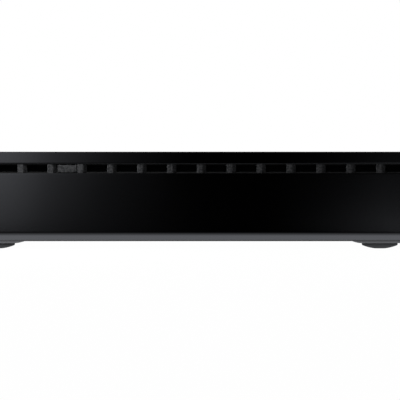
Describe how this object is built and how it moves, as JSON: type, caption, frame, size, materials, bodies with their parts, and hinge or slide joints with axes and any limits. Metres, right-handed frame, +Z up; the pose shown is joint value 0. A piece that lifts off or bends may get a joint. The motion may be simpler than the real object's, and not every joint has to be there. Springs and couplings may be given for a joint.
{
  "type": "signage player",
  "caption": "Slim rectangular media box with a row of vent slots under its lid, a power key in the row, rear sockets and round rubber feet.",
  "frame": {"origin": "middle of the case on the standing surface, at the bottom of the feet", "axes": "+X to the right seen from the front, +Y to the rear so that the front faces -Y, +Z up"},
  "size_m": [0.205, 0.165, 0.0439],
  "materials": {
    "gloss_black": "smooth near-black with a clear satin gloss",
    "grain_grey": "matt charcoal grey with a fine cast grain",
    "sheet_black": "fine-textured black powder coat on sheet steel",
    "foot_rubber": "soft matt dark grey rubber",
    "dark_plastic": "moulded black plastic",
    "pale_plastic": "moulded ivory plastic",
    "board_green": "green solder mask on glass-fibre board",
    "chip_black": "black moulded package",
    "steel": "plated steel",
    "brass": "turned brass",
    "copper": null,
    "alloy": "bare milled aluminium",
    "wire_black": "black insulated wire",
    "screen_black": "dense black dust mesh"
  },
  "bodies": {
    "case": {"audio_socket": "dark_plastic", "blower_base": "dark_plastic", "blower_cable": "wire_black", "blower_cover": "steel", "blower_screw_1": "steel", "blower_screw_2": "steel", "board_screw_1": "steel", "board_screw_2": "steel", "board_screw_3": "steel", "board_screw_4": "steel", "board_standoff_1": "brass", "board_standoff_2": "brass", "board_standoff_3": "brass", "board_standoff_4": "brass", "bottom_plate": "sheet_black", "cell_holder": "dark_plastic", "coin_cell": "steel", "cold_plate": "alloy", "cover_screw_1": "steel", "cover_screw_2": "steel", "cover_screw_3": "steel", "cover_screw_4": "steel", "dust_screen": "screen_black", "fin_stack": "alloy", "front_left_foot": "foot_rubber", "front_left_grille": "grain_grey", "front_right_foot": "foot_rubber", "front_right_grille": "grain_grey", "heat_pipe": "copper", "key_board": "board_green", "key_board_screw_1": "steel", "key_board_screw_2": "steel", "key_cable": "wire_black", "lan_socket": "steel", "left_grille": "grain_grey", "lower_shell": "gloss_black", "main_board": "board_green", "memory_module": "board_green", "memory_socket": "pale_plastic", "picture_socket": "steel", "power_inlet": "dark_plastic", "power_switch": "dark_plastic", "processor": "chip_black", "rear_grille": "grain_grey", "rear_left_foot": "foot_rubber", "rear_panel": "sheet_black", "rear_right_foot": "foot_rubber", "reset_switch": "dark_plastic", "right_grille": "grain_grey", "stator": "copper", "storage_card": "board_green", "storage_screw": "steel", "storage_socket": "dark_plastic", "storage_standoff": "brass", "top_cover": "gloss_black", "usb_socket": "steel"},
    "power_key": {"power_key": "grain_grey", "switch_plunger": "dark_plastic"},
    "reset_button": {"reset_plunger": "pale_plastic"},
    "blower_rotor": {"impeller": "dark_plastic"}
  },
  "joints": [
    {"name": "power_key_press", "type": "slide", "parent": "case", "child": "power_key", "axis": [0, 1, 0], "range_m": [0, 0.0006], "stiffness_N_per_m": 1200, "springref_m": -0.0004},
    {"name": "reset_press", "type": "slide", "parent": "case", "child": "reset_button", "axis": [0, -1, 0], "range_m": [0, 0.0004], "stiffness_N_per_m": 1200, "springref_m": -0.0004},
    {"name": "blower_spin", "type": "hinge", "parent": "case", "child": "blower_rotor", "pos_m": [0.062, 0.0332, 0.0109], "axis": [0, 0, 1], "continuous": true}
  ]
}
